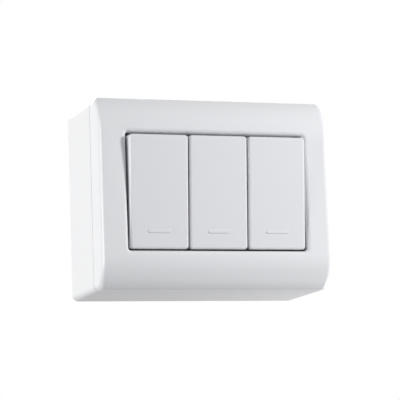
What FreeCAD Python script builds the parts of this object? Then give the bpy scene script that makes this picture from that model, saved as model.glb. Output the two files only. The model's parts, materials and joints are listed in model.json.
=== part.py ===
import FreeCAD, Part

import math
import os
import re

import Sketcher

# Surface mounted light switch with three rockers.
# Origin at the centre of the wall face, +X to the right, +Z up, wall behind at +Y.
# Lengths are in mm, angles in degrees. "Depth" below is the distance in front of the wall.

document = FreeCAD.newDocument("surface_mounted_light_switch")
sheet = document.addObject("Spreadsheet::Sheet", "Sizes")

SIZES = {
    # rockers, in a row, and how they stand in the cover's opening
    "gang_pitch": 25.55,
    "rocker_gap": 0.55,
    "rocker_height": 47.0,
    "rocker_face": 1.5,
    "rocker_skirt": 1.3,
    "rocker_corner": 1.4,
    "rocker_edge": 1.1,
    "rocker_stand": 1.4,
    "rocker_tilt": 5.0,
    "pivot_setback": 5.5,
    "skirt_clearance": 2.05,
    "bar_length": 9.8,
    "bar_width": 1.45,
    "bar_rise": 0.4,
    "bar_edge": 0.35,
    "bar_margin": 7.3,
    # front cover, measured outwards from the rockers
    "opening_side_gap": 0.7,
    "opening_end_gap": 0.95,
    "opening_corner": 1.2,
    "opening_lip": 1.75,
    "lip_land": 0.26,
    "side_border": 11.45,
    "end_border": 15.75,
    "cover_depth": 15.0,
    "cover_wall": 2.0,
    "seam_gap": 0.35,
    "roll_angle": 60.0,
    "crease_easing": 1.0,
    "return_depth": 5.5,
    "return_wall": 1.4,
    "clip_spacing": 60.0,
    "clip_width": 8.0,
    "clip_thickness": 1.6,
    "clip_inset": 2.88,
    "hook_reach": 0.7,
    "hook_length": 1.2,
    "clip_clearance": 0.3,
    "hook_clearance": 0.1,
    # back box
    "box_depth": 35.0,
    "box_draft": 0.5,
    "box_wall": 2.0,
    "base_wall": 2.2,
    "edge_radius": 2.5,
    "core_radius": 1.0,
    "tongue_height": 1.2,
    "tongue_wall": 0.95,
    "tongue_clearance": 0.1,
    "boss_radius": 3.5,
    "boss_margin": 3.5,
    "boss_rib": 1.6,
    "pilot_depth": 14.0,
    "cable_entry_radius": 10.0,
    "fixing_spacing_x": 60.0,
    "fixing_spacing_z": 45.0,
    "fixing_slot_length": 8.0,
    "fixing_slot_width": 4.4,
    "fixing_pad_rim": 2.0,
    "fixing_pad_height": 0.8,
    # mounting frame and its screws
    "frame_thickness": 2.0,
    "frame_clearance": 0.4,
    "frame_corner": 3.0,
    "aperture_gap": 0.2,
    "screw_radius": 1.45,
    "screw_hole_gap": 0.3,
    "screw_length": 12.0,
    "screw_head_radius": 2.9,
    "screw_head_height": 2.2,
    "screw_head_round": 0.8,
    "recess_width": 0.8,
    "recess_length": 3.2,
    "recess_depth": 1.2,
    # switch housing and rocker carrier
    "housing_gap": 0.55,
    "housing_step": 1.5,
    "housing_depth": 20.5,
    "housing_wall": 1.2,
    "housing_rear_wall": 1.6,
    "nose_width": 6.0,
    "nose_reach": 0.8,
    "nose_height": 1.2,
    "nose_clearance": 0.1,
    "flange_step": 0.5,
    "flange_thickness": 1.5,
    "spigot_depth": 2.5,
    "spigot_wall": 1.0,
    "spigot_clearance": 0.1,
    "stop_gap": 0.12,
    "stop_width": 10.0,
    "stop_thickness": 1.5,
    # hinge
    "hinge_pin_radius": 1.0,
    "hinge_clearance": 0.06,
    "hinge_pin_inset": 0.2,
    "cheek_gap": 0.8,
    "cheek_wall": 1.4,
    "cheek_ring": 1.1,
    "cheek_foot": 4.5,
    "lug_gap": 0.4,
    "lug_wall": 1.4,
    "lug_ring": 1.0,
    "lug_root": 2.6,
    # plunger and spring inside the rocker
    "plunger_radius": 2.0,
    "plunger_clearance": 0.05,
    "plunger_gap": 0.1,
    "plunger_nose": 4.7,
    "plunger_tip_flat": 0.1,
    "guide_wall": 1.15,
    "guide_side_gap": 0.8,
    "guide_swing_gap": 1.8,
    "bore_floor": 1.7,
    "spring_room": 6.0,
    "spring_wire_radius": 0.25,
    "spring_turns": 5.0,
    "spring_side_gap": 0.2,
    "spring_end_gap": 0.05,
    # contact lever
    "lever_inset": 4.2,
    "lever_tilt": 7.0,
    "lever_width": 5.0,
    "lever_edge": 0.3,
    "lever_thickness": 0.8,
    "lever_raise": 0.1,
    "lever_pin_radius": 0.6,
    "lever_pin_stub": 0.2,
    "rivet_radius": 1.2,
    "rivet_height": 0.8,
    "rivet_offset": 7.0,
    # terminals
    "strip_thickness": 0.8,
    "contact_gap": 0.1,
    "fixed_rivet_height": 0.6,
    "ear_gap": 0.4,
    "ear_wall": 1.0,
    "ear_half_height": 2.0,
    "ear_rise": 0.3,
    "notch_clearance": 0.05,
    "saddle_drop": 4.1,
    "block_width": 8.0,
    "block_height": 8.2,
    "block_spacing": 2.0,
    "block_side_gap": 0.3,
    "block_seat_gap": 0.1,
    "common_block_width": 7.0,
    "wire_bore_radius": 1.7,
    "wire_stop_wall": 2.6,
    "wire_entry_gap": 0.3,
    "clamp_radius": 1.5,
    "clamp_depth": 4.4,
    "clamp_hole_gap": 0.4,
    "clamp_tip_gap": 0.2,
    "clamp_slot_width": 0.6,
    "clamp_slot_depth": 0.9,
}

for row, (alias, number) in enumerate(SIZES.items(), start=1):
    sheet.set(f"A{row}", alias.replace("_", " "))
    sheet.set(f"B{row}", str(number))
    sheet.setAlias(f"B{row}", alias)
document.recompute()

# Places that follow from the sizes, as expressions: halves across and up, and depths
ROCKER_X = "(gang_pitch / 2 - rocker_gap / 2)"
ROCKER_Z = "(rocker_height / 2)"
OPENING_X = f"(gang_pitch + {ROCKER_X} + opening_side_gap)"
OPENING_Z = f"({ROCKER_Z} + opening_end_gap)"
BOX_X = f"({OPENING_X} + side_border)"
BOX_Z = f"({OPENING_Z} + end_border)"
RIM_X = f"({BOX_X} - box_depth * tan(box_draft))"
RIM_Z = f"({BOX_Z} - box_depth * tan(box_draft))"
FRONT = "(box_depth + cover_depth)"
COVER_BACK = "(box_depth + seam_gap)"
COVER_X = f"({BOX_X} - {COVER_BACK} * tan(box_draft))"
COVER_Z = f"({BOX_Z} - {COVER_BACK} * tan(box_draft))"
ROLL_START = f"({OPENING_Z} + opening_lip + lip_land)"
ROLL_RADIUS = f"(({COVER_Z} - {ROLL_START}) / sin(roll_angle))"
CLIP_OUTER = f"({RIM_Z} - box_wall - clip_inset)"
CLIP_INNER = f"({CLIP_OUTER} - clip_thickness)"
FRAME_SEAT = "(box_depth - frame_thickness)"
HOUSING_X = "(gang_pitch / 2 - housing_gap / 2)"
HOUSING_Z = f"({ROCKER_Z} - housing_step)"
HOUSING_REAR = "(box_depth - housing_depth)"
APERTURE_X = f"(gang_pitch + {HOUSING_X} + aperture_gap)"
APERTURE_Z = f"({HOUSING_Z} + aperture_gap)"
BOSS_X = f"({APERTURE_X} + boss_margin)"
FLANGE_Z = f"({ROCKER_Z} + flange_step)"
FLANGE_FRONT = "(box_depth + flange_thickness)"
PIVOT = f"({FRONT} + rocker_stand - pivot_setback)"
SKIRT_REACH = (
    f"(({PIVOT} - {FLANGE_FRONT} - skirt_clearance - {ROCKER_Z} * sin(rocker_tilt))"
    " / cos(rocker_tilt))"
)
CHEEK_OUTER = f"({ROCKER_X} - rocker_skirt - cheek_gap)"
CHEEK_INNER = f"({CHEEK_OUTER} - cheek_wall)"
LEVER_PIVOT = "(box_depth - lever_inset)"
PLUNGER_REACH = f"({PIVOT} - {LEVER_PIVOT} - lever_raise - lever_thickness - plunger_gap)"
PLUNGER_BACK = "(spring_room + bore_floor - pivot_setback)"
GUIDE_REACH = f"({PLUNGER_REACH} - plunger_nose)"
BORE_RADIUS = "(plunger_radius + plunger_clearance)"
GUIDE_RADIUS = f"({BORE_RADIUS} + guide_wall)"
STRIP_FRONT = (
    f"({LEVER_PIVOT} - (rivet_height - lever_raise) * cos(lever_tilt)"
    " - (rivet_offset + rivet_radius) * sin(lever_tilt)"
    " - contact_gap - fixed_rivet_height)"
)
BLOCK_REAR = f"({HOUSING_REAR} + housing_rear_wall + block_seat_gap)"
BLOCK_TOP = f"({HOUSING_Z} - housing_wall - block_seat_gap)"
COMMON_X = f"({HOUSING_X} - housing_wall - block_side_gap - common_block_width / 2)"
WAY_TWO_X = f"({COMMON_X} - common_block_width / 2 - block_spacing - block_width / 2)"

ALIASES = re.compile(r"\b(" + "|".join(sorted(SIZES, key=len, reverse=True)) + r")\b")


def tied(expression):
    """The expression with every size read from the sheet."""
    return ALIASES.sub(r"Sizes.\1", expression)


def size(expression):
    """What an expression comes to with the present sizes."""
    return float(sheet.evalExpression(tied(expression)))


def bind(target, path, expression):
    target.setExpression(path, tied(expression))


# Sketching


def new_body(label):
    body = document.addObject("PartDesign::Body", label)
    body.Label = label
    return body


def new_sketch(body, name, plane, start="0"):
    """Sketch on an origin plane of the body, moved along the plane's normal by start."""
    sketch = body.newObject("Sketcher::SketchObject", name)
    support = [f for f in body.Origin.OriginFeatures if f.Role == plane + "_Plane"]
    sketch.AttachmentSupport = [(support[0], "")]
    sketch.MapMode = "FlatFace"
    bind(sketch, "AttachmentOffset.Base.z", start)
    return sketch


def pin(sketch, geometry, point, x, y):
    """Hold a point at x, y of the sketch."""
    for kind, axis, place in (("DistanceX", -2, x), ("DistanceY", -1, y)):
        if place == "0":
            sketch.addConstraint(Sketcher.Constraint("PointOnObject", geometry, point, axis))
            continue
        distance = size(place)
        if distance < 0:
            ends = (geometry, point, -1, 1, -distance)
            place = f"-({place})"
        else:
            ends = (-1, 1, geometry, point, distance)
        number = sketch.addConstraint(Sketcher.Constraint(kind, *ends))
        bind(sketch, f"Constraints[{number}]", place)


def arc_between(start, end, radius, side):
    """Arc shorter than a half turn whose centre lies to the left (side 1) or right (-1)."""
    chord = end.sub(start)
    height = math.sqrt(max(radius**2 - (chord.Length / 2) ** 2, 0))
    across = FreeCAD.Vector(-chord.y, chord.x, 0).normalize()
    centre = start + chord * 0.5 + across * (side * height)
    first, last = start.sub(centre), end.sub(centre)
    angles = [math.atan2(first.y, first.x), math.atan2(last.y, last.x)]
    if side < 0:
        angles.reverse()
    circle = Part.Circle(centre, FreeCAD.Vector(0, 0, 1), radius)
    return Part.ArcOfCircle(circle, angles[0], angles[1])


def outline(sketch, corners, bends=None):
    """Closed outline through corners (x, y). bends {side number: (radius, side)} are arcs."""
    bends = bends or {}
    points = [FreeCAD.Vector(size(x), size(y), 0) for x, y in corners]
    ends = []
    for number, start in enumerate(points):
        end = points[(number + 1) % len(points)]
        if number in bends:
            radius, side = bends[number]
            curve = arc_between(start, end, size(radius), side)
            geometry = sketch.addGeometry(curve)
            ends.append((geometry, 1, 2) if side > 0 else (geometry, 2, 1))
        else:
            geometry = sketch.addGeometry(Part.LineSegment(start, end))
            ends.append((geometry, 1, 2))
    for number, (geometry, first, last) in enumerate(ends):
        following, point, _ = ends[(number + 1) % len(ends)]
        sketch.addConstraint(Sketcher.Constraint("Coincident", geometry, last, following, point))
        pin(sketch, geometry, first, *corners[number])
        if number in bends:
            radius = bends[number][0]
            held = sketch.addConstraint(Sketcher.Constraint("Radius", geometry, size(radius)))
            bind(sketch, f"Constraints[{held}]", radius)


def rectangle(sketch, left, right, low, high):
    outline(sketch, [(left, low), (right, low), (right, high), (left, high)])


def centred(sketch, half_width, half_height):
    rectangle(sketch, f"-{half_width}", half_width, f"-{half_height}", half_height)


def rounded(sketch, half_width, half_height, radius):
    """Centred rectangle with round corners."""
    x, y = half_width, half_height
    inner_x, inner_y = f"({x} - {radius})", f"({y} - {radius})"
    corners = [
        (f"-{inner_x}", f"-{y}"),
        (inner_x, f"-{y}"),
        (x, f"-{inner_y}"),
        (x, inner_y),
        (inner_x, y),
        (f"-{inner_x}", y),
        (f"-{x}", inner_y),
        (f"-{x}", f"-{inner_y}"),
    ]
    outline(sketch, corners, {side: (radius, 1) for side in (1, 3, 5, 7)})


def slot(sketch, centre_x, centre_y, length, width):
    """Slot along x with half-round ends."""
    radius = f"({width} / 2)"
    straight = f"({length} / 2 - {radius})"
    corners = [
        (f"{centre_x} - {straight}", f"{centre_y} - {radius}"),
        (f"{centre_x} + {straight}", f"{centre_y} - {radius}"),
        (f"{centre_x} + {length} / 2", centre_y),
        (f"{centre_x} + {straight}", f"{centre_y} + {radius}"),
        (f"{centre_x} - {straight}", f"{centre_y} + {radius}"),
        (f"{centre_x} - {length} / 2", centre_y),
    ]
    outline(sketch, corners, {side: (radius, 1) for side in (1, 2, 4, 5)})


def disc(sketch, x, y, radius):
    centre = FreeCAD.Vector(size(x), size(y), 0)
    circle = Part.Circle(centre, FreeCAD.Vector(0, 0, 1), size(radius))
    geometry = sketch.addGeometry(circle)
    pin(sketch, geometry, 3, x, y)
    held = sketch.addConstraint(Sketcher.Constraint("Radius", geometry, size(radius)))
    bind(sketch, f"Constraints[{held}]", radius)


# Features. A pad grows along the plane's normal: forward on XZ, right on YZ, up on XY.


def pad(body, sketch, length, symmetric=False, taper=None):
    feature = body.newObject("PartDesign::Pad", sketch.Name + "_pad")
    feature.Profile = sketch
    bind(feature, "Length", length)
    if symmetric:
        feature.SideType = "Symmetric"
    if taper:
        bind(feature, "TaperAngle", taper)
    sketch.Visibility = False
    document.recompute()
    return feature


def pocket(body, sketch, length, symmetric=False, forward=False):
    """Cut against the plane's normal, or along it where forward is set."""
    before = body.Shape.Volume
    feature = body.newObject("PartDesign::Pocket", sketch.Name + "_pocket")
    feature.Profile = sketch
    bind(feature, "Length", length)
    feature.Reversed = forward
    if symmetric:
        feature.SideType = "Symmetric"
    sketch.Visibility = False
    document.recompute()
    if not body.Shape.Volume < before:
        raise RuntimeError(f"{body.Label}: {sketch.Name} cuts nothing")
    return feature


def round_edges(body, name, radius, chosen):
    """Fillet on the edges of the body's tip for which chosen(edge) is true."""
    document.recompute()
    base = body.Tip
    names = [f"Edge{n}" for n, edge in enumerate(base.Shape.Edges, start=1) if chosen(edge)]
    if not names:
        raise RuntimeError(f"{body.Label}: {name} finds no edge")
    feature = body.newObject("PartDesign::Fillet", name)
    feature.Base = (base, names)
    bind(feature, "Radius", radius)
    document.recompute()
    return feature


CLOSE = 1e-3
# degrees by which a cutting arc runs on past the surface it cuts
OVERRUN = 5


def lies_at_depth(edge, depth):
    """Whether the whole edge lies in the plane at this depth."""
    box = edge.BoundBox
    return box.YLength < CLOSE and abs(box.YMin + depth) < CLOSE


def within(edge, half_width, half_height):
    box = edge.BoundBox
    wide = max(abs(box.XMin), abs(box.XMax)) < half_width
    return wide and max(abs(box.ZMin), abs(box.ZMax)) < half_height


# Back box: one moulding with two screw bosses, four wall slots and a cable entry


def make_back_box():
    body = new_body("back_box")

    shell = new_sketch(body, "box_outline", "XZ")
    centred(shell, BOX_X, BOX_Z)
    pad(body, shell, "box_depth", taper="-box_draft")
    along_depth = size("box_depth") / 2
    round_edges(
        body,
        "box_edges",
        "edge_radius",
        lambda edge: edge.BoundBox.YLength > along_depth,
    )

    cavity = new_sketch(body, "box_cavity", "XZ", "box_depth")
    rounded(cavity, f"({RIM_X} - box_wall)", f"({RIM_Z} - box_wall)", "core_radius")
    pocket(body, cavity, "box_depth - base_wall")

    bosses = new_sketch(body, "frame_bosses", "XZ", "base_wall / 2")
    ribs = new_sketch(body, "boss_ribs", "XZ", "base_wall / 2")
    pilots = new_sketch(body, "boss_pilots", "XZ", FRAME_SEAT)
    for sign in ("-", ""):
        disc(bosses, f"{sign}{BOSS_X}", "0", "boss_radius")
        disc(pilots, f"{sign}{BOSS_X}", "0", "screw_radius")
        ends = [f"{sign}{BOSS_X}", f"{sign}({RIM_X} - box_wall / 2)"]
        if sign:
            ends.reverse()
        rectangle(ribs, ends[0], ends[1], "-boss_rib / 2", "boss_rib / 2")
    pad(body, bosses, f"{FRAME_SEAT} - base_wall / 2")
    pad(body, ribs, f"{FRAME_SEAT} - base_wall / 2")
    pocket(body, pilots, "pilot_depth")

    pads = new_sketch(body, "fixing_pads", "XZ", "base_wall / 2")
    slots = new_sketch(body, "fixing_slots", "XZ", "base_wall + fixing_pad_height")
    for x_sign in ("-", ""):
        for z_sign in ("-", ""):
            x = f"{x_sign}fixing_spacing_x / 2"
            z = f"{z_sign}fixing_spacing_z / 2"
            rim = "2 * fixing_pad_rim"
            slot(pads, x, z, f"(fixing_slot_length + {rim})", f"(fixing_slot_width + {rim})")
            slot(slots, x, z, "fixing_slot_length", "fixing_slot_width")
    pad(body, pads, "base_wall / 2 + fixing_pad_height")
    pocket(body, slots, "base_wall + fixing_pad_height")

    entry = new_sketch(body, "cable_entry", "XZ", "base_wall")
    disc(entry, "0", "0", "cable_entry_radius")
    pocket(body, entry, "base_wall")

    tongue = new_sketch(body, "rim_tongue", "XZ", "box_depth")
    inset = "(box_wall - tongue_wall)"
    rounded(tongue, f"({RIM_X} - {inset})", f"({RIM_Z} - {inset})", "(core_radius + tongue_wall)")
    rounded(tongue, f"({RIM_X} - box_wall)", f"({RIM_Z} - box_wall)", "core_radius")
    pad(body, tongue, "tongue_height")
    return body


# Front cover: flat middle, top and bottom rolled back to the sides, lipped opening


def cover_roll(sketch, sign):
    """The corner between the front and the top (or bottom) that the roll takes away."""
    end_angle = f"(roll_angle + {OVERRUN})"
    end_z = f"({ROLL_START} + {ROLL_RADIUS} * sin({end_angle}))"
    end_depth = f"({FRONT} - {ROLL_RADIUS} * (1 - cos({end_angle})))"
    outside = f"({FRONT} + cover_wall)"
    corners = [
        (f"-{FRONT}", f"{sign}{ROLL_START}"),
        (f"-{end_depth}", f"{sign}{end_z}"),
        (f"-{outside}", f"{sign}{end_z}"),
        (f"-{outside}", f"{sign}{ROLL_START}"),
    ]
    outline(sketch, corners, {0: (ROLL_RADIUS, 1 if sign else -1)})


def cover_inside(sketch):
    """Section of the hollow, a wall thickness inside the front and the rolls."""
    end_z = f"({COVER_Z} - cover_wall)"
    inner = f"({ROLL_RADIUS} - cover_wall)"
    front = f"({FRONT} - cover_wall)"
    end_depth = f"({FRONT} - {ROLL_RADIUS} + sqrt({inner}^2 - ({end_z} - {ROLL_START})^2))"
    corners = [
        (f"-{front}", f"-{ROLL_START}"),
        (f"-{end_depth}", f"-{end_z}"),
        (f"-{COVER_BACK}", f"-{end_z}"),
        (f"-{COVER_BACK}", end_z),
        (f"-{end_depth}", end_z),
        (f"-{front}", ROLL_START),
    ]
    outline(sketch, corners, {0: (inner, 1), 4: (inner, 1)})


def cover_clips(body):
    """Four sprung legs that stand in the rolls' wall, with hooks that catch behind the frame."""
    tip = f"({FRAME_SEAT} - hook_clearance - hook_length)"
    legs = new_sketch(body, "clip_legs", "XZ", tip)
    hooks = new_sketch(body, "clip_hooks", "XZ", tip)
    middle = f"({CLIP_OUTER} - clip_thickness / 2)"
    hook_end = f"({CLIP_OUTER} + hook_reach)"
    for x_sign in ("-", ""):
        left = f"{x_sign}clip_spacing / 2 - clip_width / 2"
        right = f"{x_sign}clip_spacing / 2 + clip_width / 2"
        rectangle(legs, left, right, CLIP_INNER, CLIP_OUTER)
        rectangle(legs, left, right, f"-{CLIP_OUTER}", f"-{CLIP_INNER}")
        rectangle(hooks, left, right, middle, hook_end)
        rectangle(hooks, left, right, f"-{hook_end}", f"-{middle}")
    wall_middle = f"sqrt(({ROLL_RADIUS} - cover_wall / 2)^2 - ({middle} - {ROLL_START})^2)"
    pad(body, legs, f"{FRONT} - {ROLL_RADIUS} + {wall_middle} - {tip}")
    pad(body, hooks, "hook_length")


def make_front_cover():
    body = new_body("front_cover")

    blank = new_sketch(body, "cover_outline", "XZ", COVER_BACK)
    centred(blank, COVER_X, COVER_Z)
    pad(body, blank, f"{FRONT} - {COVER_BACK}", taper="-box_draft")

    rolls = new_sketch(body, "cover_rolls", "YZ")
    cover_roll(rolls, "")
    cover_roll(rolls, "-")
    pocket(body, rolls, f"2 * {BOX_X}", symmetric=True)

    front, back = size(FRONT), size(COVER_BACK)
    side_x = size(RIM_X) - size("cover_wall")

    def is_crease(edge):
        box = edge.BoundBox
        between = -front + CLOSE < box.YMin and box.YMax < -back - CLOSE
        return box.XLength > side_x and box.YLength < CLOSE and between

    def is_side_edge(edge):
        box = edge.BoundBox
        beside = box.XMin > side_x or box.XMax < -side_x
        return beside and not lies_at_depth(edge, back)

    round_edges(body, "crease_edges", "edge_radius + crease_easing", is_crease)
    round_edges(body, "cover_edges", "edge_radius", is_side_edge)

    hollow = new_sketch(body, "cover_hollow", "YZ")
    cover_inside(hollow)
    pocket(body, hollow, f"2 * ({COVER_X} - cover_wall)", symmetric=True)

    wall = new_sketch(body, "opening_return", "XZ", f"{FRONT} - return_depth")
    outer_x, outer_z = f"({OPENING_X} + return_wall)", f"({OPENING_Z} + return_wall)"
    rounded(wall, outer_x, outer_z, "(opening_corner + return_wall)")
    pad(body, wall, "return_depth - cover_wall / 2")
    opening = new_sketch(body, "cover_opening", "XZ", FRONT)
    rounded(opening, OPENING_X, OPENING_Z, "opening_corner")
    pocket(body, opening, "return_depth")
    reach_x, reach_z = size(OPENING_X) + CLOSE, size(OPENING_Z) + CLOSE
    round_edges(
        body,
        "opening_lip",
        "opening_lip",
        lambda edge: lies_at_depth(edge, front) and within(edge, reach_x, reach_z),
    )

    rebate = new_sketch(body, "tongue_rebate", "XZ", COVER_BACK)
    left = "(box_wall - tongue_wall - tongue_clearance)"
    rounded(rebate, f"({RIM_X} - {left})", f"({RIM_Z} - {left})", "(core_radius + tongue_wall)")
    pocket(body, rebate, "tongue_height + tongue_clearance", forward=True)

    cover_clips(body)
    return body


# Mounting frame: flat plate that carries the three modules


def make_mounting_frame():
    body = new_body("mounting_frame")
    plate = new_sketch(body, "frame_plate", "XZ", FRAME_SEAT)
    edge = "(box_wall + frame_clearance)"
    rounded(plate, f"({RIM_X} - {edge})", f"({RIM_Z} - {edge})", "frame_corner")
    centred(plate, APERTURE_X, APERTURE_Z)
    outer = f"({CLIP_OUTER} + hook_reach / 2 + clip_clearance)"
    inner = f"({CLIP_INNER} - clip_clearance)"
    half = "(clip_width / 2 + clip_clearance)"
    for sign in ("-", ""):
        disc(plate, f"{sign}{BOSS_X}", "0", "(screw_radius + screw_hole_gap)")
        left, right = f"{sign}clip_spacing / 2 - {half}", f"{sign}clip_spacing / 2 + {half}"
        rectangle(plate, left, right, inner, outer)
        rectangle(plate, left, right, f"-{outer}", f"-{inner}")
    pad(body, plate, "frame_thickness")
    return body


def make_frame_screws():
    """Two pan head screws with a cross recess."""
    body = new_body("frame_screws")
    heads = new_sketch(body, "screw_heads", "XZ", "box_depth")
    shanks = new_sketch(body, "screw_shanks", "XZ", "box_depth - screw_length")
    for sign in ("-", ""):
        disc(heads, f"{sign}{BOSS_X}", "0", "screw_head_radius")
        disc(shanks, f"{sign}{BOSS_X}", "0", "screw_radius")
    pad(body, heads, "screw_head_height")
    crown = size("box_depth + screw_head_height")
    round_edges(
        body, "screw_crowns", "screw_head_round", lambda edge: lies_at_depth(edge, crown)
    )
    pad(body, shanks, "screw_length + screw_head_height / 2")
    for name, width, height in (
        ("recess_across", "recess_length", "recess_width"),
        ("recess_upright", "recess_width", "recess_length"),
    ):
        recess = new_sketch(body, name, "XZ", "box_depth + screw_head_height")
        for sign in ("-", ""):
            left, right = f"{sign}{BOSS_X} - {width} / 2", f"{sign}{BOSS_X} + {width} / 2"
            rectangle(recess, left, right, f"-{height} / 2", f"{height} / 2")
        pocket(body, recess, "recess_depth")
    return body


# Switch module: rear housing, front carrier


def terminal_places():
    """Centre x and z of the three terminal blocks, and which way their screws face."""
    high = f"({BLOCK_TOP} - block_height / 2)"
    return [("0", high, "up"), (WAY_TWO_X, f"-{high}", "down"), (COMMON_X, f"-{high}", "down")]


def make_housing(name):
    body = new_body(f"switch_housing_{name}")
    shell = new_sketch(body, "housing_outline", "XZ", HOUSING_REAR)
    centred(shell, HOUSING_X, HOUSING_Z)
    pad(body, shell, "housing_depth - nose_clearance")
    cavity = new_sketch(body, "housing_cavity", "XZ", "box_depth")
    inner_x, inner_z = f"({HOUSING_X} - housing_wall)", f"({HOUSING_Z} - housing_wall)"
    centred(cavity, inner_x, inner_z)
    pocket(body, cavity, "housing_depth - housing_rear_wall")

    noses = new_sketch(body, "snap_noses", "XZ", f"{FRAME_SEAT} - nose_clearance - nose_height")
    nose_end = f"({HOUSING_Z} + nose_reach)"
    nose_root = f"({HOUSING_Z} - housing_wall / 2)"
    half = "(nose_width / 2)"
    rectangle(noses, f"-{half}", half, nose_root, nose_end)
    rectangle(noses, f"-{half}", half, f"-{nose_end}", f"-{nose_root}")
    pad(body, noses, "nose_height")

    rear = f"({HOUSING_REAR} + housing_rear_wall)"
    entries = new_sketch(body, "wire_entries", "XZ", rear)
    upper = new_sketch(body, "upper_clamp_hole", "XY", HOUSING_Z)
    lower = new_sketch(body, "lower_clamp_holes", "XY", f"-{HOUSING_Z}")
    for x, z, way in terminal_places():
        disc(entries, x, z, "(wire_bore_radius + wire_entry_gap)")
        access = upper if way == "up" else lower
        disc(access, x, f"-({BLOCK_REAR} + clamp_depth)", "(clamp_radius + clamp_hole_gap)")
    pocket(body, entries, "housing_rear_wall")
    pocket(body, upper, "housing_wall")
    pocket(body, lower, "housing_wall", forward=True)
    return body


def cheek_outline(sketch):
    """Side view of a cheek: wide foot, round ear about the hinge."""
    ring = "(hinge_pin_radius + hinge_clearance + cheek_ring)"
    foot = f"({FLANGE_FRONT} - flange_thickness / 2)"
    corners = [
        (f"-{foot}", "-cheek_foot"),
        (f"-{foot}", "cheek_foot"),
        (f"-{PIVOT}", ring),
        (f"-({PIVOT} + {ring})", "0"),
        (f"-{PIVOT}", f"-{ring}"),
    ]
    outline(sketch, corners, {2: (ring, 1), 3: (ring, 1)})


def make_carrier(name):
    body = new_body(f"rocker_carrier_{name}")
    flange = new_sketch(body, "flange", "XZ", "box_depth")
    centred(flange, HOUSING_X, FLANGE_Z)
    centred(flange, f"({GUIDE_RADIUS} + guide_side_gap)", f"({GUIDE_RADIUS} + guide_swing_gap)")
    pad(body, flange, "flange_thickness")

    spigot = new_sketch(body, "spigot", "XZ", "box_depth - spigot_depth")
    outer = "(housing_wall + spigot_clearance)"
    inner = f"({outer} + spigot_wall)"
    for step in (outer, inner):
        centred(spigot, f"({HOUSING_X} - {step})", f"({HOUSING_Z} - {step})")
    pad(body, spigot, "spigot_depth + flange_thickness / 2")

    for side, start in (("right", CHEEK_INNER), ("left", f"-{CHEEK_OUTER}")):
        cheek = new_sketch(body, f"cheek_{side}", "YZ", start)
        cheek_outline(cheek)
        pad(body, cheek, "cheek_wall")
    bearing = new_sketch(body, "hinge_holes", "YZ")
    disc(bearing, f"-{PIVOT}", "0", "(hinge_pin_radius + hinge_clearance)")
    pocket(body, bearing, f"2 * {HOUSING_X}", symmetric=True)

    stops = new_sketch(body, "travel_stops", "XZ", f"{FLANGE_FRONT} - flange_thickness / 2")
    half = "(stop_width / 2)"
    foot = f"({FLANGE_Z} - stop_thickness)"
    rectangle(stops, f"-{half}", half, foot, FLANGE_Z)
    rectangle(stops, f"-{half}", half, f"-{FLANGE_Z}", f"-{foot}")
    pad(body, stops, "skirt_clearance - stop_gap + flange_thickness / 2")
    return body


# Rocker key, drawn about its hinge axis and turned to the position with the top out


def lug_outline(sketch):
    """Side view of a hinge lug that hangs from the inside of the face."""
    ring = "(hinge_pin_radius + lug_ring)"
    root = "(pivot_setback - rocker_face / 2)"
    corners = [
        (f"-{root}", "lug_root"),
        (f"-{root}", "-lug_root"),
        ("0", f"-{ring}"),
        (ring, "0"),
        ("0", ring),
    ]
    outline(sketch, corners, {2: (ring, 1), 3: (ring, 1)})


def make_rocker(name):
    body = new_body(f"rocker_{name}")
    block = new_sketch(body, "key_outline", "XZ", f"-{SKIRT_REACH}")
    rounded(block, ROCKER_X, ROCKER_Z, "rocker_corner")
    pad(body, block, f"{SKIRT_REACH} + pivot_setback")
    face = size("pivot_setback")
    round_edges(body, "key_edges", "rocker_edge", lambda edge: lies_at_depth(edge, face))

    hollow = new_sketch(body, "key_hollow", "XZ", f"-{SKIRT_REACH}")
    centred(hollow, f"({ROCKER_X} - rocker_skirt)", f"({ROCKER_Z} - rocker_skirt)")
    pocket(body, hollow, f"{SKIRT_REACH} + pivot_setback - rocker_face", forward=True)

    guide = new_sketch(body, "plunger_guide", "XZ", f"-{GUIDE_REACH}")
    disc(guide, "0", "0", GUIDE_RADIUS)
    pad(body, guide, f"{GUIDE_REACH} + pivot_setback - rocker_face / 2")
    bore = new_sketch(body, "plunger_bore", "XZ", f"-{GUIDE_REACH}")
    disc(bore, "0", "0", BORE_RADIUS)
    pocket(body, bore, f"{GUIDE_REACH} + pivot_setback - bore_floor", forward=True)

    lug_end = f"({CHEEK_INNER} - lug_gap)"
    pin_root = f"({lug_end} - lug_wall / 2)"
    pin_end = f"({CHEEK_OUTER} - hinge_pin_inset)"
    for side, lug_start, pin_start in (
        ("right", f"{lug_end} - lug_wall", pin_root),
        ("left", f"-{lug_end}", f"-{pin_end}"),
    ):
        lug = new_sketch(body, f"hinge_lug_{side}", "YZ", lug_start)
        lug_outline(lug)
        pad(body, lug, "lug_wall")
        pivot = new_sketch(body, f"hinge_pin_{side}", "YZ", pin_start)
        disc(pivot, "0", "0", "hinge_pin_radius")
        pad(body, pivot, f"{pin_end} - {pin_root}")

    bar = new_sketch(body, "face_bar", "XZ", "pivot_setback - rocker_face / 2")
    slot(bar, "0", f"-({ROCKER_Z} - bar_margin)", "bar_length", "bar_width")
    pad(body, bar, "rocker_face / 2 + bar_rise")
    crown = size("pivot_setback + bar_rise")
    round_edges(body, "bar_edges", "bar_edge", lambda edge: lies_at_depth(edge, crown))
    return body


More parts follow.
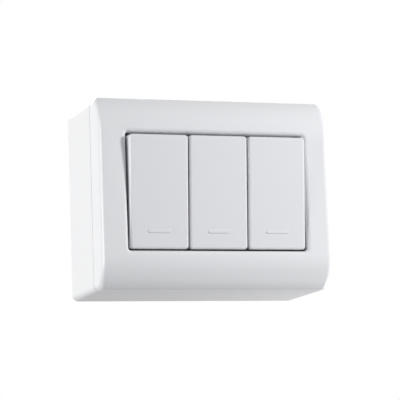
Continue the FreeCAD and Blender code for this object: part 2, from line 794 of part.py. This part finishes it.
def make_plunger(name):
    body = new_body(f"plunger_{name}")
    stem = new_sketch(body, "plunger_stem", "XZ", f"-{PLUNGER_REACH}")
    disc(stem, "0", "0", "plunger_radius")
    pad(body, stem, f"{PLUNGER_REACH} - {PLUNGER_BACK}")
    tip = -size(PLUNGER_REACH)
    radius = "plunger_radius - plunger_tip_flat"
    round_edges(body, "plunger_tip", radius, lambda edge: lies_at_depth(edge, tip))
    return body


def make_spring(name):
    """Coil of round wire, drawn as a chain of short straight runs of hexagonal wire."""
    steps_per_turn = 12
    wire = size("spring_wire_radius")
    coil = size(f"{BORE_RADIUS} - spring_side_gap") - wire
    top = size("pivot_setback - bore_floor - spring_end_gap") - wire
    bottom = size(f"spring_end_gap - {PLUNGER_BACK}") + wire
    steps = int(size("spring_turns") * steps_per_turn)
    points = []
    for step in range(steps + 1):
        angle = 2 * math.pi * step / steps_per_turn
        depth = bottom + (top - bottom) * step / steps
        points.append(FreeCAD.Vector(coil * math.cos(angle), -depth, coil * math.sin(angle)))
    path = Part.makePolygon(points)
    along = points[1].sub(points[0]).normalize()
    outward = FreeCAD.Vector(1, 0, 0)
    across = along.cross(outward).normalize()
    outward = across.cross(along)
    ring = []
    for corner in range(7):
        angle = math.pi * corner / 3
        offset = outward * (wire * math.cos(angle)) + across * (wire * math.sin(angle))
        ring.append(points[0] + offset)
    section = Part.makePolygon(ring)
    spring = document.addObject("Part::Feature", f"plunger_spring_{name}")
    spring.Label = f"plunger_spring_{name}"
    spring.Shape = Part.Wire(path.Edges).makePipeShell([section], True, True, 1)
    return spring


# Contact lever and terminals


def make_lever(name):
    """See-saw strip with a cross pin and a contact rivet at each end."""
    body = new_body(f"contact_lever_{name}")
    strip = new_sketch(body, "lever_strip", "XZ", "lever_raise")
    centred(strip, "(lever_width / 2)", "(rivet_offset + rivet_radius + lever_edge)")
    pad(body, strip, "lever_thickness")
    rivets = new_sketch(body, "lever_rivets", "XZ", "lever_raise - rivet_height")
    disc(rivets, "0", "rivet_offset", "rivet_radius")
    disc(rivets, "0", "-rivet_offset", "rivet_radius")
    pad(body, rivets, "rivet_height + lever_thickness / 2")
    rocking_pin = new_sketch(body, "lever_pin", "YZ")
    disc(rocking_pin, "0", "0", "lever_pin_radius")
    pin_end = "(lever_width / 2 + ear_gap + ear_wall + lever_pin_stub)"
    pad(body, rocking_pin, f"2 * {pin_end}", symmetric=True)
    return body


def clamp_block(body, place, width, front):
    """Square clamp with a wire bore from the rear and a threaded hole for its screw."""
    x, z, way = place
    block = new_sketch(body, "clamp_block", "XZ", BLOCK_REAR)
    low, high = f"{z} - block_height / 2", f"{z} + block_height / 2"
    rectangle(block, f"{x} - {width} / 2", f"{x} + {width} / 2", low, high)
    pad(body, block, f"{front} - {BLOCK_REAR}")
    bore = new_sketch(body, "wire_bore", "XZ", BLOCK_REAR)
    disc(bore, x, z, "wire_bore_radius")
    pocket(body, bore, f"{front} - {BLOCK_REAR} - wire_stop_wall", forward=True)
    end = BLOCK_TOP if way == "up" else f"-{BLOCK_TOP}"
    thread = new_sketch(body, "clamp_thread", "XY", end)
    disc(thread, x, f"-({BLOCK_REAR} + clamp_depth)", "clamp_radius")
    pocket(body, thread, "block_height / 2", forward=way == "down")


def make_way_terminal(name, way_name, place):
    """Fixed contact on a strip that ends in a clamp block."""
    body = new_body(f"{way_name}_terminal_{name}")
    sign = "" if place[2] == "up" else "-"
    strip = new_sketch(body, "contact_strip", "XZ", f"{STRIP_FRONT} - strip_thickness")
    near = f"{sign}(rivet_offset - lever_width / 2)"
    far = f"{sign}({BLOCK_TOP} - block_height / 2)"
    low, high = (far, near) if sign else (near, far)
    rectangle(strip, "-lever_width / 2", "lever_width / 2", low, high)
    pad(body, strip, "strip_thickness")
    rivet = new_sketch(body, "fixed_rivet", "XZ", f"{STRIP_FRONT} - strip_thickness / 2")
    disc(rivet, "0", f"{sign}rivet_offset", "rivet_radius")
    pad(body, rivet, "strip_thickness / 2 + fixed_rivet_height")
    clamp_block(body, place, "block_width", f"({STRIP_FRONT} - strip_thickness / 2)")
    return body


def make_common_terminal(name, place):
    """Two notched ears for the lever, on a strip that ends in a clamp block."""
    x, z, _ = place
    body = new_body(f"common_terminal_{name}")
    ear_inner = "(lever_width / 2 + ear_gap)"
    ear_outer = f"({ear_inner} + ear_wall)"
    base = f"({LEVER_PIVOT} - saddle_drop)"
    left, right = f"{x} - common_block_width / 2", f"{x} + common_block_width / 2"
    corners = [
        (f"-{ear_outer}", "-ear_half_height"),
        (left, "-ear_half_height"),
        (left, z),
        (right, z),
        (right, "ear_half_height"),
        (f"-{ear_outer}", "ear_half_height"),
    ]
    strip = new_sketch(body, "saddle_strip", "XZ", base)
    outline(strip, corners)
    pad(body, strip, "strip_thickness")
    ears = new_sketch(body, "lever_ears", "XZ", f"{base} + strip_thickness / 2")
    for left, right in ((f"-{ear_outer}", f"-{ear_inner}"), (ear_inner, ear_outer)):
        rectangle(ears, left, right, "-ear_half_height", "ear_half_height")
    pad(body, ears, "saddle_drop + ear_rise - strip_thickness / 2")
    notch = new_sketch(body, "lever_notch", "YZ")
    disc(notch, f"-{LEVER_PIVOT}", "0", "(lever_pin_radius + notch_clearance)")
    pocket(body, notch, f"2 * {ear_outer}", symmetric=True)
    clamp_block(body, place, "common_block_width", f"({base} + strip_thickness / 2)")
    return body


def make_terminal_screws(name):
    """Three slotted clamp screws, each from the housing's outside to its wire bore."""
    body = new_body(f"terminal_screws_{name}")
    tip = f"({BLOCK_TOP} - block_height / 2 + wire_bore_radius + clamp_tip_gap)"
    upper = new_sketch(body, "upper_screw", "XY", tip)
    lower = new_sketch(body, "lower_screws", "XY", f"-{HOUSING_Z}")
    upper_slot = new_sketch(body, "upper_driver_slot", "XY", HOUSING_Z)
    lower_slots = new_sketch(body, "lower_driver_slots", "XY", f"-{HOUSING_Z}")
    centre_y = f"-({BLOCK_REAR} + clamp_depth)"
    half_slot = "clamp_slot_width / 2"
    for x, z, way in terminal_places():
        screws, slots = (upper, upper_slot) if way == "up" else (lower, lower_slots)
        disc(screws, x, centre_y, "clamp_radius")
        left, right = f"{x} - 2 * clamp_radius", f"{x} + 2 * clamp_radius"
        low, high = f"{centre_y} - {half_slot}", f"{centre_y} + {half_slot}"
        rectangle(slots, left, right, low, high)
    pad(body, upper, f"{HOUSING_Z} - {tip}")
    pad(body, lower, f"{HOUSING_Z} - {tip}")
    pocket(body, upper_slot, "clamp_slot_depth")
    pocket(body, lower_slots, "clamp_slot_depth", forward=True)
    return body


# Assembly


def place(piece, x, depth="0", turn=None):
    """Move a piece to x and depth, turned about X by turn degrees."""
    if turn:
        angle = FreeCAD.Rotation(FreeCAD.Vector(1, 0, 0), size(turn))
        piece.Placement = FreeCAD.Placement(FreeCAD.Vector(0, 0, 0), angle)
        bind(piece, "Placement.Rotation.Angle", turn)
    bind(piece, "Placement.Base.x", x)
    bind(piece, "Placement.Base.y", f"-{depth}" if depth != "0" else "0")


def make_gang(name, x):
    """One switch module with its rocker, placed at x."""
    upper, lower, common = terminal_places()
    pieces = []
    fixed = [
        make_housing(name),
        make_carrier(name),
        make_way_terminal(name, "way_one", upper),
        make_way_terminal(name, "way_two", lower),
        make_common_terminal(name, common),
        make_terminal_screws(name),
    ]
    for piece in fixed:
        place(piece, x)
    tilted = [make_rocker(name), make_plunger(name), make_spring(name)]
    for piece in tilted:
        place(piece, x, PIVOT, "rocker_tilt")
    lever = make_lever(name)
    place(lever, x, LEVER_PIVOT, "-lever_tilt")
    pieces.extend(fixed + tilted + [lever])
    return pieces


def check(pieces):
    """Stop if any object failed or any piece has no sound shape."""
    failed = [o.Name for o in document.Objects if {"Invalid", "Error"} & set(o.State)]
    if failed:
        raise RuntimeError(f"failed objects: {failed}")
    for piece in pieces:
        if piece.Shape.isNull() or not piece.Shape.isValid():
            raise RuntimeError(f"{piece.Label} has no sound shape")


pieces = [make_back_box(), make_front_cover(), make_mounting_frame(), make_frame_screws()]
for gang, offset in (("left", "-gang_pitch"), ("middle", "0"), ("right", "gang_pitch")):
    pieces += make_gang(gang, offset)
document.recompute()
check(pieces)

os.makedirs("parts", exist_ok=True)
for piece in pieces:
    piece.Shape.exportStep(f"parts/{piece.Label}.step")
    solids = len(piece.Shape.Solids)
    print(f"{piece.Label}: {solids} solid(s), {piece.Shape.Volume / 1000:.3f} cm3")
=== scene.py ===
import json
import math

import bpy
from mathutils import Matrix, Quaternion, Vector


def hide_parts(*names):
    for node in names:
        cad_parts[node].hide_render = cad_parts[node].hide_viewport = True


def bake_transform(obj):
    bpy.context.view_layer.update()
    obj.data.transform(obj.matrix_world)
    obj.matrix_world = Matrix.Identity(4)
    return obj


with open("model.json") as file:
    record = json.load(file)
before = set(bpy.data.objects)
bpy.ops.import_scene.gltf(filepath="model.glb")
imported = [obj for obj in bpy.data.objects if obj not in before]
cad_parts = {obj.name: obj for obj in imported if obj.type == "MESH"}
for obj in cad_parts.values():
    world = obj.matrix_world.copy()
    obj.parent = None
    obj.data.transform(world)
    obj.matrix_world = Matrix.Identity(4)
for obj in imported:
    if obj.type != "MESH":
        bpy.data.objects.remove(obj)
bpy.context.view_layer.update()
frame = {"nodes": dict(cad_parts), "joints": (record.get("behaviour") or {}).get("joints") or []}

# Back box
# The open box that is screwed to the wall, moulded in white ABS. Its skin comes from
# a fine spark-eroded tool: satin, with a very small grain, duller than the cover's.


class Wire:
    """The output of a shader node, for use in Python arithmetic."""

    def __init__(self, nodes, socket):
        self.nodes = nodes
        self.socket = socket

    def maths(self, operation, other=0.0):
        return self.nodes.node("ShaderNodeMath", {"operation": operation}, self, other)

    def __add__(self, other):
        return self.maths("ADD", other)

    def __sub__(self, other):
        return self.maths("SUBTRACT", other)

    def __rsub__(self, other):
        return self.nodes.node("ShaderNodeMath", {"operation": "SUBTRACT"}, other, self)

    def __mul__(self, other):
        return self.maths("MULTIPLY", other)

    def __gt__(self, other):
        return self.maths("GREATER_THAN", other)

    def __lt__(self, other):
        return self.maths("LESS_THAN", other)

    def __abs__(self):
        return self.maths("ABSOLUTE")

    __radd__ = __add__
    __rmul__ = __mul__


class Nodes:
    """The shader nodes of a material or of the world."""

    def __init__(self, tree):
        self.tree = tree

    def fill(self, socket, value):
        """Give an input a plain value or a wire."""
        if isinstance(value, Wire):
            self.tree.links.new(value.socket, socket)
        else:
            socket.default_value = value

    def node(self, kind, settings=None, *values, output=0, **named):
        """Add a node: its settings first, then values or wires for its inputs."""
        node = self.tree.nodes.new(kind)
        for key, value in (settings or {}).items():
            setattr(node, key, value)
        inputs = dict(enumerate(values))
        inputs.update((key.replace("_", " "), value) for key, value in named.items())
        for key, value in inputs.items():
            self.fill(node.inputs[key], value)
        return Wire(self, node.outputs[output]) if node.outputs else None


class Finish(Nodes):
    """A material: plain values on its shader, and wires for what varies over the surface."""

    # A Mix node keeps its colours on these inputs, and their mix on this output
    FIRST_COLOUR = 6
    SECOND_COLOUR = 7
    MIXED_COLOUR = 2

    def __init__(self, name, **values):
        self.material = bpy.data.materials.new(name)
        self.material.use_nodes = True
        super().__init__(self.material.node_tree)
        self.shader = self.tree.nodes["Principled BSDF"]
        for key, value in values.items():
            self.shader.inputs[key.replace("_", " ")].default_value = value
        self.place = self.node("ShaderNodeTexCoord", output="Object")

    def feed(self, name, wire):
        self.fill(self.shader.inputs[name], wire)

    def along(self, axis):
        """Distance along one axis of the part, in metres."""
        return self.node("ShaderNodeSeparateXYZ", None, self.place, output=axis)

    def noise(self, size, detail, stretch=(1, 1, 1)):
        """Noise from 0 to 1, with features about size metres across."""
        place = self.place
        if stretch != (1, 1, 1):
            squeeze = tuple(1 / s for s in stretch)
            place = self.node("ShaderNodeVectorMath", {"operation": "MULTIPLY"}, place, squeeze)
        return self.node("ShaderNodeTexNoise", Vector=place, Scale=1 / size, Detail=detail)

    def ramp(self, wire, low, high):
        """From 0 to 1 as the wire goes from low to high."""
        return self.node("ShaderNodeMapRange", None, wire, low, high, 0.0, 1.0)

    def tone(self, mask, first, second):
        """Colour from first, plain or a wire, to second as mask goes from 0 to 1."""
        settings = {"data_type": "RGBA"}
        mix = self.node("ShaderNodeMix", settings, mask, output=self.MIXED_COLOUR)
        inputs = mix.socket.node.inputs
        self.fill(inputs[self.FIRST_COLOUR], first if isinstance(first, Wire) else (*first, 1))
        self.fill(inputs[self.SECOND_COLOUR], (*second, 1))
        return mix

    def relief(self, height, depth):
        """Surface relief, depth metres deep where height goes from 0 to 1."""
        self.feed("Normal", self.node("ShaderNodeBump", Height=height, Distance=depth))


def dress(finish, *names):
    """Give CAD pieces a material."""
    for name in names:
        mesh = frame["nodes"][name].data
        mesh.materials.clear()
        mesh.materials.append(finish.material)


CLOUD_SIZE = 0.045
SMEAR_SIZE = 0.020
SMEAR_GLOSS = 0.06
SINK_SIZE = 0.014


def moulded(name, pale, deep, gloss, grain, grain_depth, wave_depth):
    """Moulded plastic: faint clouding, uneven gloss, a skin grain and slow sink waves."""
    finish = Finish(name, IOR=1.5)
    cloud = finish.noise(CLOUD_SIZE, detail=1.0)
    finish.feed("Base Color", finish.tone(cloud, pale, deep))
    smear = finish.noise(SMEAR_SIZE, detail=2.0)
    finish.feed("Roughness", gloss + (smear - 0.5) * SMEAR_GLOSS)
    skin = finish.noise(grain, detail=2.0) * (grain_depth / wave_depth)
    finish.relief(finish.noise(SINK_SIZE, detail=1.0) + skin, wave_depth)
    return finish


box_white = moulded(
    "box_white_abs",
    pale=(0.800, 0.801, 0.806),
    deep=(0.794, 0.795, 0.800),
    gloss=0.42,
    grain=0.00035,
    grain_depth=0.000004,
    wave_depth=0.000012,
)
dress(box_white, "back_box")

# Mounting frame and its two screws
# A flat plate of duller white ABS, painted greyer than the box as painted shade for the
# gaps around the rockers where it shows through, that lies on the box's bosses. Zinc plated
# pan head screws with a cross recess hold it; their threads cut their own way into the bosses.

# Greyer than the box and cover: painted shade, so that the gaps around the rockers look darker
frame_white_painted_shade = moulded(
    "frame_white_abs_painted_shade",
    pale=(0.640, 0.650, 0.655),
    deep=(0.620, 0.632, 0.640),
    gloss=0.50,
    grain=0.0005,
    grain_depth=0.000008,
    wave_depth=0.000010,
)
dress(frame_white_painted_shade, "mounting_frame")

BRIGHT_ZINC = (0.60, 0.61, 0.63)
DULL_ZINC = (0.49, 0.50, 0.50)
ZINC_ROUGHNESS = 0.24
RUBBED_ROUGHNESS = 0.16
RUBBED_DEPTH = 0.02
THREAD_DEPTH = 0.00025


def plated_steel(name, axis, pitch, thread_from, thread_to):
    """Zinc plate over steel, with a thread along one axis between two places on it."""
    finish = Finish(name, Metallic=1.0)
    bloom = finish.ramp(finish.noise(0.0018, detail=4.0), low=0.3, high=0.7)
    finish.feed("Base Color", finish.tone(bloom, BRIGHT_ZINC, DULL_ZINC))
    rub = finish.noise(0.0006, detail=3.0, stretch=(1, 6, 1))
    finish.feed("Roughness", ZINC_ROUGHNESS + rub * RUBBED_ROUGHNESS)
    along = finish.along(axis)
    turns = (along * (1 / pitch)).maths("PINGPONG", 0.5) * 2
    threaded = (along > thread_from) * (along < thread_to)
    finish.relief(turns * threaded + rub * RUBBED_DEPTH, THREAD_DEPTH)
    return finish


frame_screw_zinc = plated_steel(
    "frame_screw_zinc", axis="Y", pitch=0.0010, thread_from=-0.0340, thread_to=-0.0231
)
dress(frame_screw_zinc, "frame_screws")

# Switch housings
# One grey box of glass-filled nylon for each switch, snapped into the frame from behind.
# The glass shows as short pale flecks in a dull surface.

GANGS = ("left", "middle", "right")
NYLON_GREY = (0.47, 0.48, 0.49)
FLECK_GREY = (0.56, 0.57, 0.58)
NYLON_ROUGHNESS = 0.62
FLECK_GLOSS = 0.15

housing_grey = Finish("housing_glass_filled_nylon", IOR=1.53)
fibres = housing_grey.noise(0.0004, detail=1.0, stretch=(5, 1, 1))
flecks = housing_grey.ramp(fibres, low=0.58, high=0.72)
housing_grey.feed("Base Color", housing_grey.tone(flecks, NYLON_GREY, FLECK_GREY))
housing_grey.feed("Roughness", NYLON_ROUGHNESS - flecks * FLECK_GLOSS)
housing_grey.relief(flecks + housing_grey.noise(0.003, detail=2.0), depth=0.000012)
for gang in GANGS:
    dress(housing_grey, f"switch_housing_{gang}")

# Terminals and clamp screws
# Stamped and milled brass: two ways with a silver contact riveted on, and the common
# with the ears that the lever rocks in. Slotted clamp screws of plated steel.

FRESH_BRASS = (0.72, 0.52, 0.21)
DULL_BRASS = (0.50, 0.34, 0.14)
SILVER = (0.70, 0.69, 0.66)
BRASS_ROUGHNESS = 0.26
TARNISH_ROUGHNESS = 0.2
DRAWN_ROUGHNESS = 0.08
# The contacts lie this far above and below the middle, in front of their strips
CONTACTS_FROM = 0.0050
CONTACTS_TO = 0.0090
STRIP_FRONT = -0.02842

contact_brass = Finish("contact_brass", Metallic=1.0)
height = abs(contact_brass.along("Z"))
level = (height > CONTACTS_FROM) * (height < CONTACTS_TO)
riveted = (contact_brass.along("Y") < STRIP_FRONT) * level
tarnish = contact_brass.ramp(contact_brass.noise(0.004, detail=5.0), low=0.4, high=0.75)
brass = contact_brass.tone(tarnish, FRESH_BRASS, DULL_BRASS)
contact_brass.feed("Base Color", contact_brass.tone(riveted, brass, SILVER))
drawn = contact_brass.noise(0.0005, detail=3.0, stretch=(1, 1, 12))
contact_brass.feed(
    "Roughness", BRASS_ROUGHNESS + tarnish * TARNISH_ROUGHNESS + drawn * DRAWN_ROUGHNESS
)
contact_brass.relief(drawn, depth=0.000004)

clamp_screw_zinc = plated_steel(
    "clamp_screw_zinc", axis="Z", pitch=0.0006, thread_from=-0.0212, thread_to=0.0212
)
for gang in GANGS:
    dress(contact_brass, f"way_one_terminal_{gang}", f"way_two_terminal_{gang}")
    dress(contact_brass, f"common_terminal_{gang}")
    dress(clamp_screw_zinc, f"terminal_screws_{gang}")

# Contact levers
# A brass see-saw under each rocker, with a silver contact riveted in each end.
# The silver is greyer and smoother than the strip around it.

joints = {joint["name"]: joint for joint in frame["joints"]}
LEVER_PIVOT = joints["lever_hinge_left"]["pos_m"][1]
LEVER_TILT = math.radians(7)
# Only the contacts stand further back from the pivot than this, square to the lever
LEVER_BACK = -0.00005
STAIN_ROUGHNESS = 0.2
SILVER_GLOSS = 0.06

lever_brass = Finish("lever_brass_and_silver", Metallic=1.0)
height = lever_brass.along("Z")
depth = lever_brass.along("Y") - LEVER_PIVOT
behind = depth * math.cos(LEVER_TILT) - height * math.sin(LEVER_TILT)
silver = (behind > LEVER_BACK) * (abs(height) > CONTACTS_FROM)
stain = lever_brass.noise(0.003, detail=4.0)
strip = lever_brass.tone(lever_brass.ramp(stain, low=0.5, high=0.8), FRESH_BRASS, DULL_BRASS)
lever_brass.feed("Base Color", lever_brass.tone(silver, strip, SILVER))
lever_brass.feed("Roughness", BRASS_ROUGHNESS + stain * STAIN_ROUGHNESS - silver * SILVER_GLOSS)
lever_brass.relief(lever_brass.noise(0.0004, detail=2.0, stretch=(1, 1, 10)), depth=0.000003)
for gang in GANGS:
    dress(lever_brass, f"contact_lever_{gang}")

# Rocker carriers
# The front half of each switch, plugged into its housing: a plate with two cheeks that
# hold the rocker's pins. Moulded in the same duller white ABS as the frame, painted the same
# grey as painted shade for the gaps around the rockers.

# The carriers take the frame's greyer white: painted shade for the gaps around the rockers
for gang in GANGS:
    dress(frame_white_painted_shade, f"rocker_carrier_{gang}")

# Plungers and springs
# A slippery off-white acetal plunger in each rocker's guide, pushed by a coil of
# bright drawn wire whose end turns are closed.

acetal = moulded(
    "plunger_acetal",
    pale=(0.700, 0.690, 0.650),
    deep=(0.680, 0.668, 0.626),
    gloss=0.33,
    grain=0.0006,
    grain_depth=0.000003,
    wave_depth=0.000006,
)

BRIGHT_WIRE = (0.52, 0.52, 0.54)
DULL_WIRE = (0.42, 0.42, 0.43)
WIRE_ROUGHNESS = 0.18
LINE_ROUGHNESS = 0.15

spring_wire = Finish("spring_wire", Metallic=1.0)
die_lines = spring_wire.noise(0.0002, detail=3.0)
spring_wire.feed("Base Color", spring_wire.tone(die_lines, BRIGHT_WIRE, DULL_WIRE))
spring_wire.feed("Roughness", WIRE_ROUGHNESS + die_lines * LINE_ROUGHNESS)
spring_wire.relief(die_lines, depth=0.000003)

WIRE_RADIUS = 0.00025
COIL_RADIUS = 0.0016
COIL_TURNS = 5
COIL_INNER_END = -0.0019
COIL_OUTER_END = 0.0035
CLOSED_TURNS = 0.8
TURN_STEPS = 36
ROUND_STEPS = 10


def coil_rise(turn):
    """How far along its axis the wire is after some turns: slow where the ends are closed."""
    closed = 2 * WIRE_RADIUS
    open_turns = COIL_TURNS - 2 * CLOSED_TURNS
    length = COIL_OUTER_END - COIL_INNER_END
    pitch = (length - 2 * CLOSED_TURNS * closed) / open_turns
    start = min(turn, CLOSED_TURNS)
    middle = min(max(turn - CLOSED_TURNS, 0), open_turns)
    end = max(turn - CLOSED_TURNS - open_turns, 0)
    return COIL_INNER_END + (start + end) * closed + middle * pitch


def wire_coil(name, centre, axis):
    """A round wire wound about an axis, closed at both of its ends."""
    side = Vector((1, 0, 0))
    rise = side.cross(axis)
    points = []
    for step in range(COIL_TURNS * TURN_STEPS + 1):
        turn = step / TURN_STEPS
        outward = side * math.cos(math.tau * turn) + rise * math.sin(math.tau * turn)
        middle = centre + axis * coil_rise(turn) + outward * COIL_RADIUS
        for corner in range(ROUND_STEPS):
            angle = math.tau * corner / ROUND_STEPS
            spoke = outward * math.cos(angle) + axis * math.sin(angle)
            points.append(middle + spoke * WIRE_RADIUS)
    last = len(points) - ROUND_STEPS
    faces = [tuple(reversed(range(ROUND_STEPS)))]
    for near in range(0, last, ROUND_STEPS):
        far = near + ROUND_STEPS
        for corner in range(ROUND_STEPS):
            beside = (corner + 1) % ROUND_STEPS
            faces.append((near + corner, near + beside, far + beside, far + corner))
    faces.append(tuple(range(last, len(points))))
    mesh = bpy.data.meshes.new(name)
    mesh.from_pydata(points, [], faces)
    mesh.shade_smooth()
    coil = bpy.data.objects.new(name, mesh)
    bpy.context.scene.collection.objects.link(coil)
    return coil


for gang in GANGS:
    dress(acetal, f"plunger_{gang}")
    pivot = Vector(joints[f"rocker_hinge_{gang}"]["pos_m"])
    push = Vector(joints[f"plunger_slide_{gang}"]["axis"])
    coil = wire_coil(f"wire_coil_{gang}", pivot, push)
    coil.data.materials.append(spring_wire.material)
    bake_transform(coil)
    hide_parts(f"plunger_spring_{gang}")

# Rockers
# The keys: glossy white ABS, a touch greyer than the cover, with a raised bar low down.
# Their pins turn in the carriers' cheeks, and they stand with the top out.

rocker_white = moulded(
    "rocker_white_abs",
    pale=(0.764, 0.770, 0.790),
    deep=(0.758, 0.764, 0.785),
    gloss=0.31,
    grain=0.0005,
    grain_depth=0.0000015,
    wave_depth=0.000010,
)
for gang in GANGS:
    dress(rocker_white, f"rocker_{gang}")

# Front cover
# The white ABS cover with its top and bottom rolled back, moulded in a polished tool,
# so it is glossier than the box. It goes on last, and clips behind the frame.

cover_white = moulded(
    "cover_white_abs",
    pale=(0.789, 0.794, 0.812),
    deep=(0.783, 0.788, 0.807),
    gloss=0.32,
    grain=0.0005,
    grain_depth=0.0000015,
    wave_depth=0.000010,
)
dress(cover_white, "front_cover")

# Studio
# A pale floor well below the switch, which hangs as on a wall, soft boxes and a white
# surround. The camera stands low on the left and looks slightly up.

FLOOR_DROP = 0.95
FLOOR_HALF = 10.0
PALE_FLOOR = (0.58, 0.58, 0.59)
DEEP_FLOOR = (0.56, 0.56, 0.57)
FLOOR_ROUGHNESS = 0.7
SPECK_ROUGHNESS = 0.1
GLOW_SHARE = 0.6
FLOOR_GLOW = (0.93, 0.93, 0.935, 1)
ROOM_LIGHT = (0.97, 0.985, 1.0, 1)
WHITE = (1, 1, 1, 1)


def seen_directly(nodes):
    """1 for what the camera sees, also in a reflection or through glass, and 0 for light."""
    camera, glossy, through = (
        nodes.node("ShaderNodeLightPath", output=f"Is {kind} Ray")
        for kind in ("Camera", "Glossy", "Transmission")
    )
    return camera.maths("MAXIMUM", glossy).maths("MAXIMUM", through)


around = ((-1, -1), (1, -1), (1, 1), (-1, 1))
corners = [(x * FLOOR_HALF, y * FLOOR_HALF, -FLOOR_DROP) for x, y in around]
mesh = bpy.data.meshes.new("floor")
mesh.from_pydata(corners, [], [(0, 1, 2, 3)])
floor = bpy.data.objects.new("floor", mesh)
bpy.context.scene.collection.objects.link(floor)
floor_paint = Finish("floor_paint", IOR=1.45)
speck = floor_paint.noise(0.02, detail=3.0)
floor_paint.feed("Base Color", floor_paint.tone(speck, DEEP_FLOOR, PALE_FLOOR))
floor_paint.feed("Roughness", FLOOR_ROUGHNESS + speck * SPECK_ROUGHNESS)
paint = Wire(floor_paint, floor_paint.shader.outputs["BSDF"])
glow = floor_paint.node("ShaderNodeEmission", Color=FLOOR_GLOW, Strength=1.0)
share = seen_directly(floor_paint) * GLOW_SHARE
shade = floor_paint.node("ShaderNodeMixShader", None, share, paint, glow)
floor_paint.fill(floor_paint.tree.nodes["Material Output"].inputs["Surface"], shade)
floor.data.materials.append(floor_paint.material)

world = bpy.data.worlds.new("surround")
bpy.context.scene.world = world
world.use_nodes = True
world.node_tree.nodes.clear()
surround = Nodes(world.node_tree)
room = surround.node("ShaderNodeBackground", Color=ROOM_LIGHT, Strength=0.32)
backdrop = surround.node("ShaderNodeBackground", Color=WHITE, Strength=1.0)
mixed = surround.node("ShaderNodeMixShader", None, seen_directly(surround), room, backdrop)
surround.node("ShaderNodeOutputWorld", None, mixed)


def soft_box(name, place, target, size, watts):
    lamp = bpy.data.lights.new(name, "AREA")
    lamp.shape = "SQUARE"
    lamp.size = size
    lamp.energy = watts
    holder = bpy.data.objects.new(name, lamp)
    bpy.context.scene.collection.objects.link(holder)
    direction = Vector(target) - Vector(place)
    holder.rotation_euler = direction.to_track_quat("-Z", "Y").to_euler()
    holder.location = place
    return holder


soft_box("left_box", (-1.00, -0.12, 0.00), (0, 0, 0), size=0.50, watts=7.35)
soft_box("back_box", (0.10, 1.10, 0.25), (0, 0, 0), size=0.50, watts=4.5)
soft_box("low_box", (0.17, 0.02, -0.14), (0.05, -0.02, -0.04), size=0.08, watts=0.15)
soft_box("floor_box", (0.30, -0.20, -0.50), (0, -0.02, 0), size=0.30, watts=0.40)
right_box = soft_box("right_box", (0.42, -0.44, 0.14), (0, 0, 0), size=0.10, watts=2.88)
right_box.visible_glossy = False

EYE = Vector((-0.24845, -0.78000, -0.11948))
LOOKS_AT = Vector((-0.00790, -0.05000, -0.00358))
ROLL = math.radians(-2.023)

camera = bpy.data.cameras.new("camera")
camera.lens = 170.16
camera.sensor_width = 36.0
camera.clip_start = 0.01
camera.clip_end = 20.0
eye = bpy.data.objects.new("camera", camera)
bpy.context.scene.collection.objects.link(eye)
aim = (LOOKS_AT - EYE).to_track_quat("-Z", "Y") @ Quaternion((0, 0, 1), ROLL)
eye.location = EYE
eye.rotation_euler = aim.to_euler()
bpy.context.scene.camera = eye
bpy.context.scene.view_settings.view_transform = "Standard"
